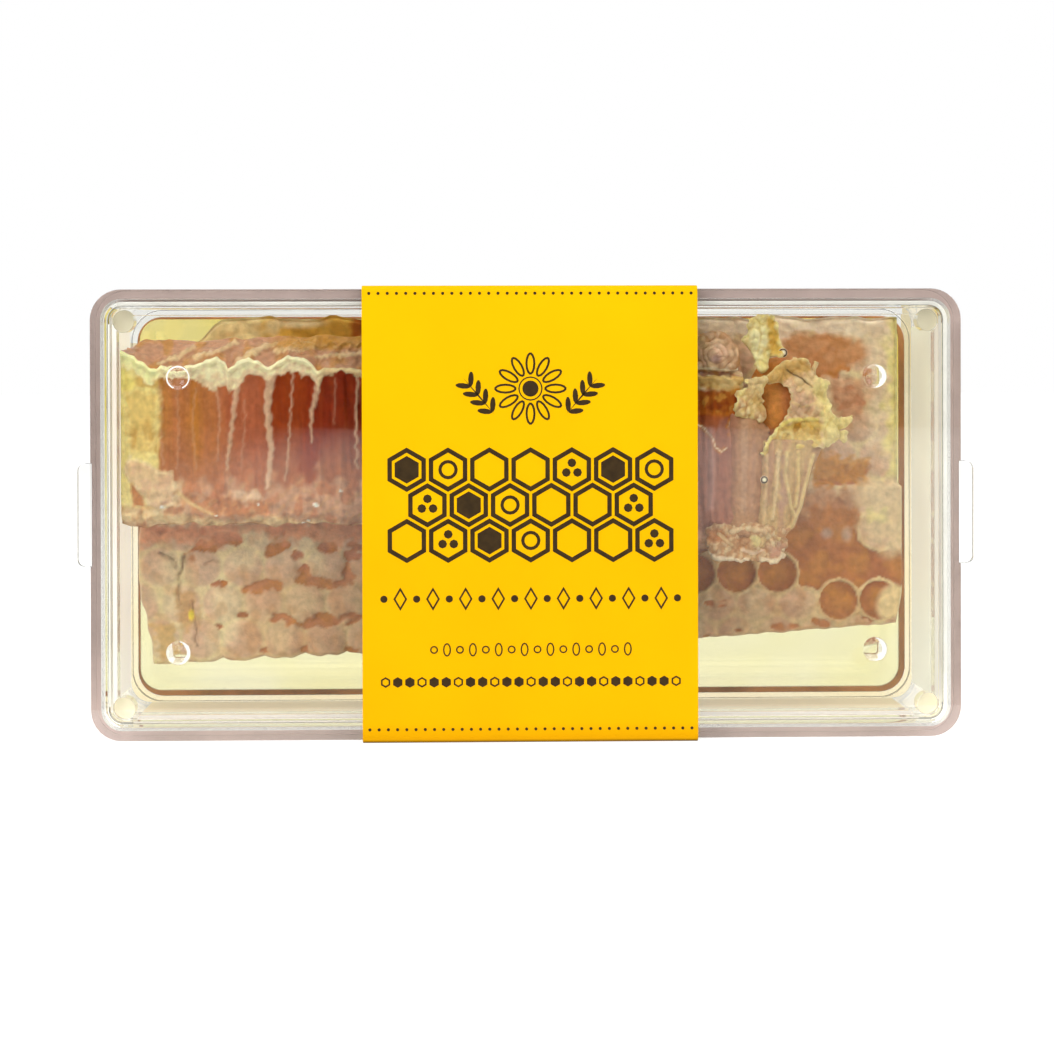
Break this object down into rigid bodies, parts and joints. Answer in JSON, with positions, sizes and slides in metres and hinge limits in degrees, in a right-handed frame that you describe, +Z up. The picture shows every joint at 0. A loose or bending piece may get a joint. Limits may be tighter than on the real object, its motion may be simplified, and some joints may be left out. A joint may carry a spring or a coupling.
{
  "type": "packed cut honeycomb piece",
  "caption": "Cut honeycomb lying in a clear shallow two-part box that stands on its long narrow side, held shut by a plain card sleeve round its middle.",
  "frame": {"origin": "middle of the sleeve's underside, on the surface the pack stands on, under the middle of the whole pack", "axes": "+X along the pack's length, +Y from the lid at the front towards the back, +Z up along its short height"},
  "size_m": [0.1114, 0.0288, 0.0567],
  "materials": {
    "clear_plastic": "clear moulded polystyrene, polished, faintly grey at its edges",
    "card": "smooth uncoated card printed all over in one warm yellow, with simple dark brown marks",
    "capped_comb": "beeswax cappings, cream to mauve brown, waxy and half dull, over amber honey",
    "cut_comb": "cut cells full of honey, red brown to amber, wet gloss, with pale wax walls",
    "torn_comb": "torn beeswax, thin, pale yellow cream and half see-through, wet with honey"
  },
  "bodies": {
    "root": {"box_lid": "clear_plastic", "box_base": "clear_plastic", "card_sleeve": "card", "comb_slab": "capped_comb", "comb_strip": "cut_comb", "torn_comb": "torn_comb"}
  },
  "joints": []
}
